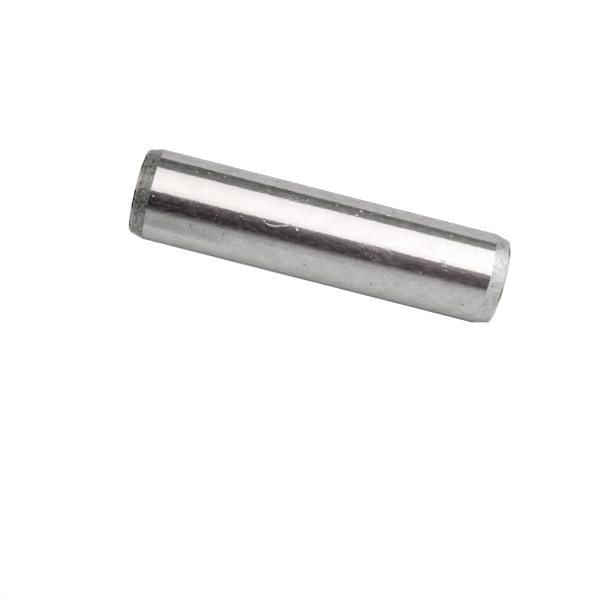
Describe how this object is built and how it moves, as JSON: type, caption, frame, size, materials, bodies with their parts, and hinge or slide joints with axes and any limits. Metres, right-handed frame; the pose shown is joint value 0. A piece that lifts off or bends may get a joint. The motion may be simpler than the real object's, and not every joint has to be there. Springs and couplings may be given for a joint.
{
  "type": "dowel pin",
  "caption": "Solid round locating pin: a ground cylinder with a tapered lead-in, a rounded edge and a flat face at both ends, pressed into reamed holes to line parts up.",
  "frame": {"origin": "centre of the lower end face, on the pin's axis", "axes": "+Z along the pin's axis, from the lower end face to the upper one; the pin stands on its lower end. The pin is round, so X and Y are free."},
  "size_m": [0.01, 0.01, 0.04],
  "materials": {
    "ground_steel": "hardened steel, centreless ground body with satin lead-ins and end faces"
  },
  "bodies": {
    "root": {"dowel_pin": "ground_steel"}
  },
  "joints": []
}
